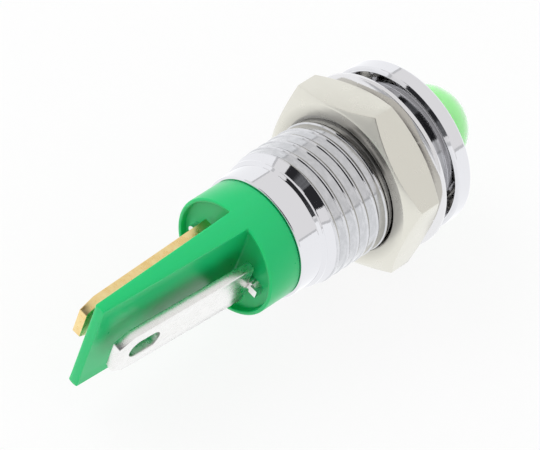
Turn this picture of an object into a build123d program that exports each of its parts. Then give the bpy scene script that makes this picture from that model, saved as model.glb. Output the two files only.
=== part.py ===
"""Panel mount indicator light for an 8 mm panel hole, with push-on tab terminals.

Millimetres.  The axis of the lamp lies along Y: the lens looks towards -Y and the tabs
point towards +Y.  The origin is the centre of the flange's rear face, the face that
seats on the panel.  +Z lies in the plane of the insulator's barrier web.
"""
from build123d import *
from math import atan2, cos, degrees, pi, radians, sin, sqrt, tan
import os

# ---- bezel body: turned brass, chrome plated ----
FLANGE_R = 5.0
FLANGE_T = 1.1
FLANGE_REAR_EDGE = 0.2      # chamfer
FLANGE_FRONT_EDGE = 0.2
THREAD_R = 4.0              # M8 x 0.75, plain here at its major diameter
THREAD_END_Y = 8.34
NECK_R = 3.62               # foot of the thread's end chamfer
NECK_Y = 8.81
BEAD_R = 3.82                # low bead between the chamfer and the shank
BEAD_FRONT_Y = 8.95
BEAD_REAR_Y = 9.05
SHANK_R = 3.65
SHANK_FRONT_Y = 9.22
SHANK_END_Y = 10.7
SHANK_LIP = 0.12            # rolled rear edge
BORE_R = 3.1
STEP_Y = 2.5                # the LED's flange seats on this step of the bore

# ---- LED: 5 mm epoxy lamp ----
LENS_R = 2.6
LENS_BORE_R = LENS_R + 0.1
LENS_DISH = 0.45            # width of the countersink around the lens
LED_FLANGE_R = 2.9
LED_FLANGE_T = 1.0
LED_BASE_Y = STEP_Y + LED_FLANGE_T
LENS_APEX_Y = -5.1
DOME_Y = LENS_APEX_Y + LENS_R
LEAD_W = 0.5                # square leads
LEAD_PITCH = 2.54
CUP_Y = -0.9                # rim of the reflector cup
CUP_H = 0.7
CUP_OUTER_R = 0.65
CUP_RIM_R = 0.5
CUP_FLOOR_R = 0.28
CUP_DEPTH = 0.35
ANVIL_X = 0.6               # the cathode's head reaches past the axis
ANVIL_NOSE_Y = 0.6
ANVIL_END_Y = 1.6
POST_Y = -0.7               # top of the anode post
POST_X = 0.85               # its side nearest the cup
POST_FOOT_Y = 0.2
POST_SHOULDER_Y = 0.6
CHIP_W = 0.3
CHIP_T = 0.2
WIRE_R = 0.03
WIRE_LOOP_X = 0.35
WIRE_LOOP_Y = -1.35
WIRE_END_X = 1.15

# ---- terminal insulator: green moulding ----
CAP_R = 3.5
CAP_END_Y = 12.9
CAP_EDGE = 0.12
POCKET_R = 3.25
POCKET_FLOOR_Y = 12.5
SPIGOT_FRONT_Y = 9.2
CAVITY_R = 2.75
CAVITY_END_Y = 11.0
WEB_ROOT_T = 1.25
WEB_TIP_T = 0.6
WEB_HALF_H = 3.44
WEB_TIP_Y = 23.0
WEB_EDGE = 0.1

# ---- push-on tabs ----
TAB_W = 2.9
TAB_T = 0.55
TAB_BASE_Y = 12.97
TAB_END_Y = 22.3
TAB_POINT_L = 0.9           # end chamfers, along the tab
TAB_POINT_W = 0.5           # and across it
EYE_Y = 20.3
EYE_L = 2.1
EYE_W = 1.3
LEG_TOP_Z = 0.1
LEG_BOTTOM_Z = -0.7
LEG_END_Y = 10.6
TAB_GAPS = {"tab_tinned": (-1.47, -1.07), "tab_brass": (1.29, 0.99)}   # inner face, base and end

# ---- leads through the insulator, and the series resistor ----
LEAD_X = 2.4
LEAD_Z = -0.3
LEAD_END_Y = 12.95
LEAD_BEND_R = 0.6
LEAD_SPREAD_Y = 4.8         # the cathode lead bends outwards here
LEAD_STRAIGHT_Y = 8.2       # and runs straight again from here
RESISTOR_X = LEAD_PITCH / 2
RESISTOR_Z = 0.5
RESISTOR_FRONT_Y = 4.9
RESISTOR_L = 3.2
RESISTOR_END_R = 0.85
RESISTOR_WAIST_R = 0.72
RESISTOR_CAP_L = 0.7
RESISTOR_CAP_EDGE = 0.2
RESISTOR_CAP_SLOPE = 0.15
RESISTOR_LEAD_R = 0.25
RESISTOR_LEAD_STUB = 0.45   # straight lead before its first bend
LEAD_LAP = 0.05             # solder that covers each lead's cut end
SPLICE_FRONT_Y = 3.85
SPLICE_REAR_Y = 4.65
SPLICE_R = 0.6
SPLICE_NOSE_R = 0.36
SPLICE_TAPER = 0.2
SOLDER_R = 0.42
SOLDER_H = 0.32
SOLDER_TOP_R = 0.32

# ---- fixings ----
NUT_AF = 10.0
NUT_FRONT_Y = 1.65
NUT_REAR_Y = 4.15
NUT_TURN = 2.0              # degrees that one corner stands off +Z
NUT_CHAMFER = 30.0
NUT_FACE_R = 4.85
NUT_SINK = 0.25
WASHER_R = 5.25
WASHER_RING_R = 4.6
WASHER_BORE_R = 4.1
WASHER_T = 0.4
TOOTH_COUNT = 12
TOOTH_W = 0.7
TOOTH_T = 0.3
TOOTH_TWIST = 15.0
TOOTH_ROOT = 0.15           # length of a tooth inside the ring


def turned(*outline):
    """Solid of revolution about Y from (radius, y) points."""
    with BuildPart() as solid:
        with BuildSketch(Plane.XY):
            with BuildLine():
                Polyline(*outline, close=True)
            make_face()
        revolve(axis=Axis.Y)
    return solid.part


def drum(radius, y_front, y_rear):
    """Plain cylinder about Y."""
    return turned((0, y_front), (radius, y_front), (radius, y_rear), (0, y_rear))


def block(x0, x1, y0, y1, z0, z1):
    """Box between two corners."""
    size = Box(x1 - x0, y1 - y0, z1 - z0)
    return Pos((x0 + x1) / 2, (y0 + y1) / 2, (z0 + z1) / 2) * size


def plate(outline, z0, z1):
    """Flat stock cut to an outline of (x, y) points."""
    with BuildPart() as solid:
        with BuildSketch(Plane.XY.offset(z0)):
            with BuildLine():
                Polyline(*outline, close=True)
            make_face()
        extrude(amount=z1 - z0)
    return solid.part


def square_wire(points, width, bend_r):
    """Square wire along a route with rounded bends."""
    route = FilletPolyline(*points, radius=bend_r)
    start = Plane(origin=route @ 0, x_dir=(1, 0, 0), z_dir=route % 0)
    return sweep(start * Rectangle(width, width), path=route)


def round_wire(points, radius):
    """Round wire along a route with sharp kinks."""
    route = Polyline(*points)
    start = Plane(origin=route @ 0, z_dir=route % 0)
    return sweep(start * Circle(radius), path=route, transition=Transition.RIGHT)


def bezel_body():
    """Flange, thread blank, bead and shank, with a stepped bore."""
    return turned(
        (FLANGE_R - FLANGE_REAR_EDGE, 0),
        (THREAD_R, 0),
        (THREAD_R, THREAD_END_Y),
        (NECK_R, NECK_Y),
        (BEAD_R, BEAD_FRONT_Y),
        (BEAD_R, BEAD_REAR_Y),
        (SHANK_R, SHANK_FRONT_Y),
        (SHANK_R, SHANK_END_Y - SHANK_LIP),
        (SHANK_R - SHANK_LIP, SHANK_END_Y),
        (BORE_R, SHANK_END_Y),
        (BORE_R, STEP_Y),
        (LENS_BORE_R, STEP_Y),
        (LENS_BORE_R, LENS_DISH - FLANGE_T),
        (LENS_BORE_R + LENS_DISH, -FLANGE_T),
        (FLANGE_R - FLANGE_FRONT_EDGE, -FLANGE_T),
        (FLANGE_R, FLANGE_FRONT_EDGE - FLANGE_T),
        (FLANGE_R, -FLANGE_REAR_EDGE),
    )


def reflector_cup():
    """Coined head of the cathode lead, with a conical cup that opens forwards."""
    return turned(
        (0, CUP_Y + CUP_DEPTH),
        (CUP_FLOOR_R, CUP_Y + CUP_DEPTH),
        (CUP_RIM_R, CUP_Y),
        (CUP_OUTER_R, CUP_Y),
        (CUP_OUTER_R, CUP_Y + CUP_H),
        (0, CUP_Y + CUP_H),
    )


def led_cathode_lead():
    """Cup, anvil and lead in one stamped piece, bent out to its hole in the insulator."""
    lead_x = -LEAD_PITCH / 2
    half = LEAD_W / 2
    anvil = plate(
        [
            (lead_x - half, CUP_Y + CUP_H / 2),
            (0, CUP_Y + CUP_H / 2),
            (ANVIL_X, CUP_Y + CUP_H),
            (ANVIL_X, ANVIL_NOSE_Y),
            (lead_x + half, ANVIL_END_Y),
            (lead_x + half, LED_BASE_Y),
            (lead_x - half, LED_BASE_Y),
        ],
        -half,
        half,
    )
    route = [
        (lead_x, LED_BASE_Y, 0),
        (lead_x, LEAD_SPREAD_Y, 0),
        (-LEAD_X, LEAD_STRAIGHT_Y, LEAD_Z),
        (-LEAD_X, LEAD_END_Y, LEAD_Z),
    ]
    cup_hollow = turned(
        (0, CUP_Y), (CUP_RIM_R, CUP_Y), (CUP_FLOOR_R, CUP_Y + CUP_DEPTH), (0, CUP_Y + CUP_DEPTH)
    )
    return anvil - cup_hollow + reflector_cup() + square_wire(route, LEAD_W, LEAD_BEND_R)


def led_anode_lead():
    """Post that the bond wire lands on, with its short cut lead."""
    lead_x = LEAD_PITCH / 2
    half = LEAD_W / 2
    end_y = SPLICE_REAR_Y - LEAD_LAP
    return plate(
        [
            (POST_X, POST_Y),
            (lead_x + half, POST_Y),
            (lead_x + half, end_y),
            (lead_x - half, end_y),
            (lead_x - half, POST_SHOULDER_Y),
            (POST_X, POST_FOOT_Y),
        ],
        -half,
        half,
    )


def led_chip():
    """Die in the bottom of the reflector cup."""
    floor = CUP_Y + CUP_DEPTH
    return block(-CHIP_W / 2, CHIP_W / 2, floor - CHIP_T, floor, -CHIP_W / 2, CHIP_W / 2)


def bond_wire():
    """Kinked wire that rises from the die and lands on the anode post."""
    loop = [
        (0, CUP_Y + CUP_DEPTH - CHIP_T, 0),
        (0, WIRE_LOOP_Y, 0),
        (WIRE_LOOP_X, WIRE_LOOP_Y, 0),
        (WIRE_END_X, POST_Y, 0),
    ]
    return round_wire(loop, WIRE_R) - led_anode_lead()


def led_lens(inner_pieces):
    """Domed epoxy body cast around the lead frame, the die and the bond wire."""
    with BuildPart() as body:
        with BuildSketch(Plane.XY):
            with BuildLine():
                Polyline(
                    (LENS_R, DOME_Y),
                    (LENS_R, STEP_Y),
                    (LED_FLANGE_R, STEP_Y),
                    (LED_FLANGE_R, LED_BASE_Y),
                    (0, LED_BASE_Y),
                    (0, LENS_APEX_Y),
                )
                ThreePointArc(
                    (0, LENS_APEX_Y),
                    (LENS_R * sin(pi / 4), DOME_Y - LENS_R * cos(pi / 4)),
                    (LENS_R, DOME_Y),
                )
            make_face()
        revolve(axis=Axis.Y)
    lens = body.part
    for piece in inner_pieces:
        lens -= piece
    return lens


def resistor_body():
    """Lacquered axial resistor with its raised end caps."""
    front = RESISTOR_FRONT_Y
    rear = front + RESISTOR_L
    profile = turned(
        (0, front),
        (RESISTOR_END_R - RESISTOR_CAP_EDGE, front),
        (RESISTOR_END_R, front + RESISTOR_CAP_EDGE),
        (RESISTOR_END_R, front + RESISTOR_CAP_L - RESISTOR_CAP_SLOPE),
        (RESISTOR_WAIST_R, front + RESISTOR_CAP_L),
        (RESISTOR_WAIST_R, rear - RESISTOR_CAP_L),
        (RESISTOR_END_R, rear - RESISTOR_CAP_L + RESISTOR_CAP_SLOPE),
        (RESISTOR_END_R, rear - RESISTOR_CAP_EDGE),
        (RESISTOR_END_R - RESISTOR_CAP_EDGE, rear),
        (0, rear),
    )
    return Pos(RESISTOR_X, 0, RESISTOR_Z) * profile


def resistor_front_lead():
    """Short lead that laps the LED's anode lead."""
    lead = drum(RESISTOR_LEAD_R, SPLICE_FRONT_Y + LEAD_LAP, RESISTOR_FRONT_Y)
    return Pos(RESISTOR_X, 0, RESISTOR_Z) * lead


def resistor_rear_lead():
    """Long lead bent out to its hole in the insulator."""
    rear = RESISTOR_FRONT_Y + RESISTOR_L
    route = [
        (RESISTOR_X, rear, RESISTOR_Z),
        (RESISTOR_X, rear + RESISTOR_LEAD_STUB, RESISTOR_Z),
        (LEAD_X, CAVITY_END_Y - LEAD_W, LEAD_Z),
        (LEAD_X, LEAD_END_Y, LEAD_Z),
    ]
    return round_wire(route, RESISTOR_LEAD_R)


def splice_solder(anode, resistor_lead):
    """Solder around the lapped leads, rounded at both ends."""
    bead = turned(
        (0, SPLICE_FRONT_Y),
        (SPLICE_NOSE_R, SPLICE_FRONT_Y),
        (SPLICE_R, SPLICE_FRONT_Y + SPLICE_TAPER),
        (SPLICE_R, SPLICE_REAR_Y - SPLICE_TAPER),
        (SPLICE_NOSE_R, SPLICE_REAR_Y),
        (0, SPLICE_REAR_Y),
    )
    return Pos(RESISTOR_X, 0, RESISTOR_Z / 2) * bead - anode - resistor_lead


def spacer_sleeve():
    """Insulating tube that keeps the LED on its step and the leads off the brass."""
    return drum(BORE_R, LED_BASE_Y, SPIGOT_FRONT_Y) - drum(CAVITY_R, LED_BASE_Y, SPIGOT_FRONT_Y)


def tab(gap_base, gap_end):
    """Push-on blade with pointed end and solder eye, and a leg through the insulator."""
    half = TAB_W / 2
    outline = [
        (TAB_BASE_Y, -half),
        (TAB_END_Y - TAB_POINT_L, -half),
        (TAB_END_Y, TAB_POINT_W - half),
        (TAB_END_Y, half - TAB_POINT_W),
        (TAB_END_Y - TAB_POINT_L, half),
        (TAB_BASE_Y, half),
        (TAB_BASE_Y, LEG_TOP_Z),
        (LEG_END_Y, LEG_TOP_Z),
        (LEG_END_Y, LEG_BOTTOM_Z),
        (TAB_BASE_Y, LEG_BOTTOM_Z),
    ]
    outward = 1 if gap_base > 0 else -1
    flat = Plane(origin=(0, 0, 0), x_dir=(0, 1, 0), z_dir=(1, 0, 0))
    with BuildPart() as blade:
        with BuildSketch(flat):
            with BuildLine():
                Polyline(*outline, close=True)
            make_face()
            with Locations((EYE_Y, 0)):
                SlotOverall(EYE_L, EYE_W, mode=Mode.SUBTRACT)
        extrude(amount=outward * TAB_T)
    lean = degrees(atan2(gap_base - gap_end, TAB_END_Y - TAB_BASE_Y))
    seat = Pos(gap_base, TAB_BASE_Y, 0) * Rot(0, 0, lean) * Pos(0, -TAB_BASE_Y, 0)
    return seat * blade.part


def web():
    """Barrier web that tapers in thickness towards its tip."""
    root = Plane(origin=(0, CAVITY_END_Y, 0), x_dir=(1, 0, 0), z_dir=(0, 1, 0))
    tip = Plane(origin=(0, WEB_TIP_Y, 0), x_dir=(1, 0, 0), z_dir=(0, 1, 0))
    height = 2 * WEB_HALF_H
    slope = (WEB_ROOT_T - WEB_TIP_T) / (WEB_TIP_Y - CAP_END_Y)
    deep_t = WEB_ROOT_T + slope * (CAP_END_Y - CAVITY_END_Y)
    sections = [root * Rectangle(deep_t, height), tip * Rectangle(WEB_TIP_T, height)]
    wedge = loft(sections)
    tip_edges = wedge.faces().sort_by(Axis.Y)[-1].edges()
    return fillet(tip_edges, WEB_EDGE)


def terminal_insulator(through_pieces):
    """Cap with two D-shaped pockets, a hollow spigot and the barrier web."""
    cap = turned(
        (0, SHANK_END_Y),
        (CAP_R, SHANK_END_Y),
        (CAP_R, CAP_END_Y - CAP_EDGE),
        (CAP_R - CAP_EDGE, CAP_END_Y),
        (0, CAP_END_Y),
    )
    pockets = drum(POCKET_R, POCKET_FLOOR_Y, CAP_END_Y)
    spigot = drum(BORE_R, SPIGOT_FRONT_Y, SHANK_END_Y)
    cavity = drum(CAVITY_R, SPIGOT_FRONT_Y, CAVITY_END_Y)
    moulding = cap - pockets + spigot + web() - cavity
    for piece in through_pieces:
        moulding -= piece
    return moulding


def pocket_solder(side, tab_piece, lead):
    """Fillet of solder between a tab's leg and the lead beside it."""
    cone = turned(
        (0, POCKET_FLOOR_Y),
        (SOLDER_R, POCKET_FLOOR_Y),
        (SOLDER_TOP_R, POCKET_FLOOR_Y + SOLDER_H),
        (0, POCKET_FLOOR_Y + SOLDER_H),
    )
    leg_x = abs(TAB_GAPS[side][0]) + TAB_T
    middle_x = (leg_x + LEAD_X) / 2
    sign = 1 if TAB_GAPS[side][0] > 0 else -1
    return Pos(sign * middle_x, 0, LEAD_Z) * cone - tab_piece - lead


def hex_nut():
    """Hexagon nut, chamfered on both faces and countersunk at both ends of its bore."""
    corner_r = NUT_AF / sqrt(3)
    drop = (corner_r - NUT_FACE_R) * tan(radians(NUT_CHAMFER))
    ends = Plane(origin=(0, NUT_FRONT_Y, 0), x_dir=(1, 0, 0), z_dir=(0, 1, 0))
    with BuildPart() as hexagon:
        with BuildSketch(ends):
            RegularPolygon(corner_r, 6, rotation=90 + NUT_TURN)
        extrude(amount=NUT_REAR_Y - NUT_FRONT_Y)
    envelope = turned(
        (THREAD_R + NUT_SINK, NUT_FRONT_Y),
        (NUT_FACE_R, NUT_FRONT_Y),
        (corner_r, NUT_FRONT_Y + drop),
        (corner_r, NUT_REAR_Y - drop),
        (NUT_FACE_R, NUT_REAR_Y),
        (THREAD_R + NUT_SINK, NUT_REAR_Y),
        (THREAD_R, NUT_REAR_Y - NUT_SINK),
        (THREAD_R, NUT_FRONT_Y + NUT_SINK),
    )
    return hexagon.part & envelope


def tooth_reach():
    """Half height of a twisted tooth along the axis."""
    twist = radians(TOOTH_TWIST)
    return TOOTH_W / 2 * sin(twist) + TOOTH_T / 2 * cos(twist)


def lock_washer():
    """Ring with twisted internal teeth that bear on the nut."""
    middle = NUT_FRONT_Y - tooth_reach()
    ring = drum(WASHER_R, middle - WASHER_T / 2, middle + WASHER_T / 2)
    washer = ring - drum(WASHER_RING_R, middle - WASHER_T / 2, middle + WASHER_T / 2)
    tooth_l = WASHER_RING_R + TOOTH_ROOT - WASHER_BORE_R
    tooth = Rot(TOOTH_TWIST, 0, 0) * Box(tooth_l, TOOTH_T, TOOTH_W)
    tooth = Pos(WASHER_BORE_R + tooth_l / 2, middle, 0) * tooth
    for index in range(TOOTH_COUNT):
        washer += Rot(0, 360 / TOOTH_COUNT * index, 0) * tooth
    return washer


def all_pieces():
    """Every node of the assembly by name."""
    cathode = led_cathode_lead()
    anode = led_anode_lead()
    chip = led_chip()
    bond = bond_wire()
    front_lead = resistor_front_lead()
    rear_lead = resistor_rear_lead()
    tabs = {name: tab(*gaps) for name, gaps in TAB_GAPS.items()}
    through = [cathode, rear_lead, *tabs.values()]
    return {
        "bezel_body": bezel_body(),
        "led_lens": led_lens([cathode, anode, chip, bond]),
        "led_cathode_lead": cathode,
        "led_anode_lead": anode,
        "led_chip": chip,
        "bond_wire": bond,
        "resistor_body": resistor_body(),
        "resistor_front_lead": front_lead,
        "resistor_rear_lead": rear_lead,
        "splice_solder": splice_solder(anode, front_lead),
        "spacer_sleeve": spacer_sleeve(),
        "terminal_insulator": terminal_insulator(through),
        "tab_tinned": tabs["tab_tinned"],
        "tab_brass": tabs["tab_brass"],
        "solder_tinned_tab": pocket_solder("tab_tinned", tabs["tab_tinned"], cathode),
        "solder_brass_tab": pocket_solder("tab_brass", tabs["tab_brass"], rear_lead),
        "hex_nut": hex_nut(),
        "lock_washer": lock_washer(),
    }


os.makedirs("parts", exist_ok=True)
for node, piece in all_pieces().items():
    export_step(piece, f"parts/{node}.step")
    print(f"{node}: {piece.volume:.3f} mm3")
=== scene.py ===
# %% [markdown]
# # A panel indicator light, finished in Blender
#
# The lamp is a small turned bezel with a green lens in front, a hexagon nut on its
# thread, and a green moulding behind that keeps two push-on tabs apart.  The solids come
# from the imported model, in metres, and give every place.  The pieces that show are
# modelled again here with fine edges, and the small and the hidden ones keep their solids.

# %% Load the frame
import bpy
import math
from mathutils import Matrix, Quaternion, Vector


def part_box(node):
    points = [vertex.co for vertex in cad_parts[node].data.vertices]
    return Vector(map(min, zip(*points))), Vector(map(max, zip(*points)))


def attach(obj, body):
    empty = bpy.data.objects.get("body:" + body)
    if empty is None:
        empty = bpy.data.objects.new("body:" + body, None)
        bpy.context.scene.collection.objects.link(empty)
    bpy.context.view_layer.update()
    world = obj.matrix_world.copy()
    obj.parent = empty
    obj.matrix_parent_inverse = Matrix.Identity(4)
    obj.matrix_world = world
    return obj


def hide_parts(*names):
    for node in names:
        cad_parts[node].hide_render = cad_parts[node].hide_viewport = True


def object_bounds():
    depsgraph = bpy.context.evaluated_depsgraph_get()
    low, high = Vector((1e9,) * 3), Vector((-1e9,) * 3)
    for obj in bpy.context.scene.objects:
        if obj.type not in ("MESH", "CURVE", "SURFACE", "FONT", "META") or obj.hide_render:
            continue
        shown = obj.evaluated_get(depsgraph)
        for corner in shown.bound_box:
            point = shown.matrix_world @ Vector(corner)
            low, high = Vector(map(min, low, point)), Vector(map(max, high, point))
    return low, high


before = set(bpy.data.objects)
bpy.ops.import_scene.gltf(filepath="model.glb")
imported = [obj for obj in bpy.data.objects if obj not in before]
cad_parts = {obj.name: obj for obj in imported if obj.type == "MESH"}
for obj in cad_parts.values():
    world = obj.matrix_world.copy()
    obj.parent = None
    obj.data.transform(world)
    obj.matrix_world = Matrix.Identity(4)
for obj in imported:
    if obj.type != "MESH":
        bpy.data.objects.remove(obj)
CAD_LOW, CAD_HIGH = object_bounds()
MM = 0.001
print("nodes:", ", ".join(sorted(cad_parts)))

# %% [markdown]
# ## Working with operators
#
# Blender's operators act on what is selected, so each step starts with nothing selected.
# In edit mode, faces, edges and points are picked by where they are, which does by code
# what a hand does with a box select.

# %% Selection helpers
def start_clean():
    """Object mode, nothing selected."""
    if bpy.context.mode != "OBJECT":
        bpy.ops.object.mode_set(mode="OBJECT")
    bpy.ops.object.select_all(action="DESELECT")


def only(piece):
    """Select one object and make it active."""
    start_clean()
    piece.select_set(True)
    bpy.context.view_layer.objects.active = piece


def edit(piece, kind="FACE"):
    """Enter edit mode with nothing selected."""
    only(piece)
    bpy.ops.object.mode_set(mode="EDIT")
    bpy.ops.mesh.select_mode(type=kind)
    bpy.ops.mesh.select_all(action="DESELECT")


def pick(piece, kind, wanted):
    """Select the faces, edges or points whose middle passes the test."""
    edit(piece, kind)
    bpy.ops.object.mode_set(mode="OBJECT")
    points = piece.data.vertices
    if kind == "FACE":
        for face in piece.data.polygons:
            face.select = wanted(face.center / MM, face.normal)
    elif kind == "EDGE":
        for edge in piece.data.edges:
            ends = [points[index].co / MM for index in edge.vertices]
            edge.select = wanted(*ends)
    else:
        for point in points:
            point.select = wanted(point.co / MM)
    bpy.ops.object.mode_set(mode="EDIT")


def name_new(name):
    """Name the object that was just added and put its place into its mesh."""
    piece = bpy.context.object
    piece.name = name
    piece.data.name = name
    bpy.ops.object.transform_apply(location=True, rotation=True, scale=True)
    return piece


# %% [markdown]
# ## Turning on the lathe
#
# Most of the lamp is turned, so one helper does what a lathe does.  It starts with a
# circle primitive about the lamp's axis, Y, and extrudes it ring by ring: each new ring
# slides along the axis and is scaled to its radius.  The last ring meets the first and
# the two are merged, which closes the wall.

# %% Turned rings
MERGE_MM = 0.0005


def turn(name, outline, steps=128):
    """Closed ring of (radius, y) points in millimetres, turned about Y."""
    radius, y = outline[0]
    start_clean()
    bpy.ops.mesh.primitive_circle_add(
        vertices=steps, radius=radius * MM, location=(0, y * MM, 0), rotation=(math.pi / 2, 0, 0)
    )
    piece = name_new(name)
    bpy.ops.object.mode_set(mode="EDIT")
    bpy.ops.mesh.select_all(action="SELECT")
    for next_radius, next_y in outline[1:] + outline[:1]:
        bpy.ops.mesh.extrude_edges_move(
            TRANSFORM_OT_translate={"value": (0, (next_y - y) * MM, 0)}
        )
        grow = next_radius / radius
        bpy.ops.transform.resize(value=(grow, 1, grow), center_override=(0, next_y * MM, 0))
        radius, y = next_radius, next_y
    bpy.ops.mesh.select_all(action="SELECT")
    bpy.ops.mesh.remove_doubles(threshold=MERGE_MM * MM)
    bpy.ops.mesh.normals_make_consistent(inside=False)
    bpy.ops.object.mode_set(mode="OBJECT")
    return piece


def on_ring(radius, y, slack=0.004):
    """Test for edges that lie on the ring at this radius and place."""
    def test(a, b):
        return all(
            abs(math.hypot(p.x, p.z) - radius) < slack and abs(p.y - y) < slack for p in (a, b)
        )
    return test


def round_ring(piece, radius, y, size, segments=3):
    """Round one turned corner."""
    pick(piece, "EDGE", on_ring(radius, y))
    bpy.ops.mesh.bevel(offset=size * MM, segments=segments, affect="EDGES", clamp_overlap=False)
    bpy.ops.object.mode_set(mode="OBJECT")


# %% [markdown]
# ## Cutting, softening and finishing
#
# No machined or moulded part has a perfectly sharp edge, and the small bevel is what
# catches the light.  Modifiers do the cuts and the bevels, and each is applied at once,
# so the mesh always holds what is seen.  Finishing a piece also says which body it rides
# on and which solid it stands for.

# %% Cutting and finishing helpers
def cut(piece, tool, operation="DIFFERENCE"):
    """Boolean with a second mesh, which is used up."""
    only(piece)
    modifier = piece.modifiers.new(operation.lower(), "BOOLEAN")
    modifier.operation = operation
    modifier.solver = "EXACT"
    modifier.object = tool
    bpy.ops.object.modifier_apply(modifier=modifier.name)
    bpy.data.objects.remove(tool)


def soften(piece, width, segments=2, angle=25):
    """Round every edge sharper than the angle."""
    only(piece)
    modifier = piece.modifiers.new("soft_edges", "BEVEL")
    modifier.width = width * MM
    modifier.segments = segments
    modifier.limit_method = "ANGLE"
    modifier.angle_limit = math.radians(angle)
    modifier.use_clamp_overlap = False
    modifier.harden_normals = False
    bpy.ops.object.modifier_apply(modifier=modifier.name)


def keep_faces_flat(piece):
    """Let the largest face set the normal at each corner, so that bevels stay narrow."""
    # The modifier compares areas, and in square metres these all fall under its
    # threshold, so the piece is enlarged for it.
    only(piece)
    piece.scale = (1 / MM, 1 / MM, 1 / MM)
    bpy.ops.object.transform_apply(location=False, rotation=False, scale=True)
    modifier = piece.modifiers.new("flat_faces", "WEIGHTED_NORMAL")
    modifier.weight = 100
    modifier.thresh = 0.001
    modifier.keep_sharp = True
    bpy.ops.object.modifier_apply(modifier=modifier.name)
    piece.scale = (MM, MM, MM)
    bpy.ops.object.transform_apply(location=False, rotation=False, scale=True)


def count_open_edges(piece):
    """Edges that don't have exactly two faces."""
    uses = {}
    for face in piece.data.polygons:
        for key in face.edge_keys:
            uses[key] = uses.get(key, 0) + 1
    return sum(1 for count in uses.values() if count != 2)


def finish_piece(piece, *nodes, slot, angle=35, flat=False):
    """Smooth shading, the body it rides on and the solids it stands for; the slot for its finish is not
    used.
    """
    only(piece)
    bpy.ops.object.shade_smooth_by_angle(angle=math.radians(angle))
    if flat:
        keep_faces_flat(piece)
    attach(piece, "root")
    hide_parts(*nodes)
    open_edges = count_open_edges(piece)
    print(f"{piece.name}: {len(piece.data.polygons)} faces, {open_edges} open edges")


# %% [markdown]
# ## The threaded bezel body
#
# The real body is turned from brass bar, threaded M8 x 0.75 and then chrome plated.  It
# is made in the same order here: a blank is turned, its corners are rounded, and a tool
# with the section of the cut is screwed along it and taken away.  Plating and polishing
# leave the turns of such a fine thread as a low round ridge on a broad band, and a
# screwed cut gives a true helix, which rings about the axis would not.

# %% Turn the blank
BODY_LOW, BODY_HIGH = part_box("bezel_body")
FLANGE_R = BODY_HIGH.x / MM
FLANGE_FRONT = BODY_LOW.y / MM
SHANK_END = BODY_HIGH.y / MM
THREAD_R = 4.0
THREAD_END = 8.34
NECK_R = 3.62
NECK_Y = 8.81
BEAD_R = 3.82
BEAD_FRONT = 8.95
BEAD_REAR = 9.05
SHANK_R = 3.65
SHANK_FRONT = 9.22
FLANGE_EDGE = 0.2
BORE_R = 3.1
LENS_SEAT_R = 2.7
STEP_Y = 2.5
DISH = 0.45

body = turn(
    "bezel_threaded",
    [
        (BORE_R, STEP_Y),
        (LENS_SEAT_R, STEP_Y),
        (LENS_SEAT_R, FLANGE_FRONT + DISH),
        (LENS_SEAT_R + DISH, FLANGE_FRONT),
        (FLANGE_R, FLANGE_FRONT),
        (FLANGE_R, -FLANGE_EDGE),
        (FLANGE_R - FLANGE_EDGE, 0),
        (THREAD_R, 0),
        (THREAD_R, THREAD_END),
        (NECK_R, NECK_Y),
        (BEAD_R, BEAD_FRONT),
        (BEAD_R, BEAD_REAR),
        (SHANK_R, SHANK_FRONT),
        (SHANK_R, SHANK_END),
        (BORE_R, SHANK_END),
    ],
    steps=192,
)
round_ring(body, FLANGE_R, -FLANGE_EDGE, 0.03)
round_ring(body, FLANGE_R - FLANGE_EDGE, 0, 0.03)
round_ring(body, FLANGE_R, FLANGE_FRONT, 0.16, segments=4)
round_ring(body, LENS_SEAT_R + DISH, FLANGE_FRONT, 0.06)
round_ring(body, LENS_SEAT_R, FLANGE_FRONT + DISH, 0.05)
round_ring(body, SHANK_R, SHANK_END, 0.12, segments=4)
round_ring(body, BORE_R, SHANK_END, 0.08)
round_ring(body, SHANK_R, SHANK_FRONT, 0.03)
round_ring(body, BEAD_R, BEAD_FRONT, 0.015, segments=2)
round_ring(body, BEAD_R, BEAD_REAR, 0.02, segments=2)
round_ring(body, THREAD_R, THREAD_END, 0.04)
print("blank:", len(body.data.polygons), "faces")

# %% Cut the thread
# FIRST_RIDGE is where the ridge crosses the +X side, and turns are counted from there.
# The section of the cut is pairs of a distance past the ridge and a radius.
PITCH = 0.75
FIRST_RIDGE = 0.33
START_TURN = 0.25
END_TURN = 11.2
BAND_R = 3.944
CUT = [
    (0.012, 4.06), (0.03, 3.998), (0.05, 3.984), (0.085, 3.956), (0.105, 3.947), (0.13, BAND_R),
    (0.56, BAND_R), (0.6, 3.948), (0.69, 3.985), (0.715, 3.997), (0.738, 4.06),
]


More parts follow.
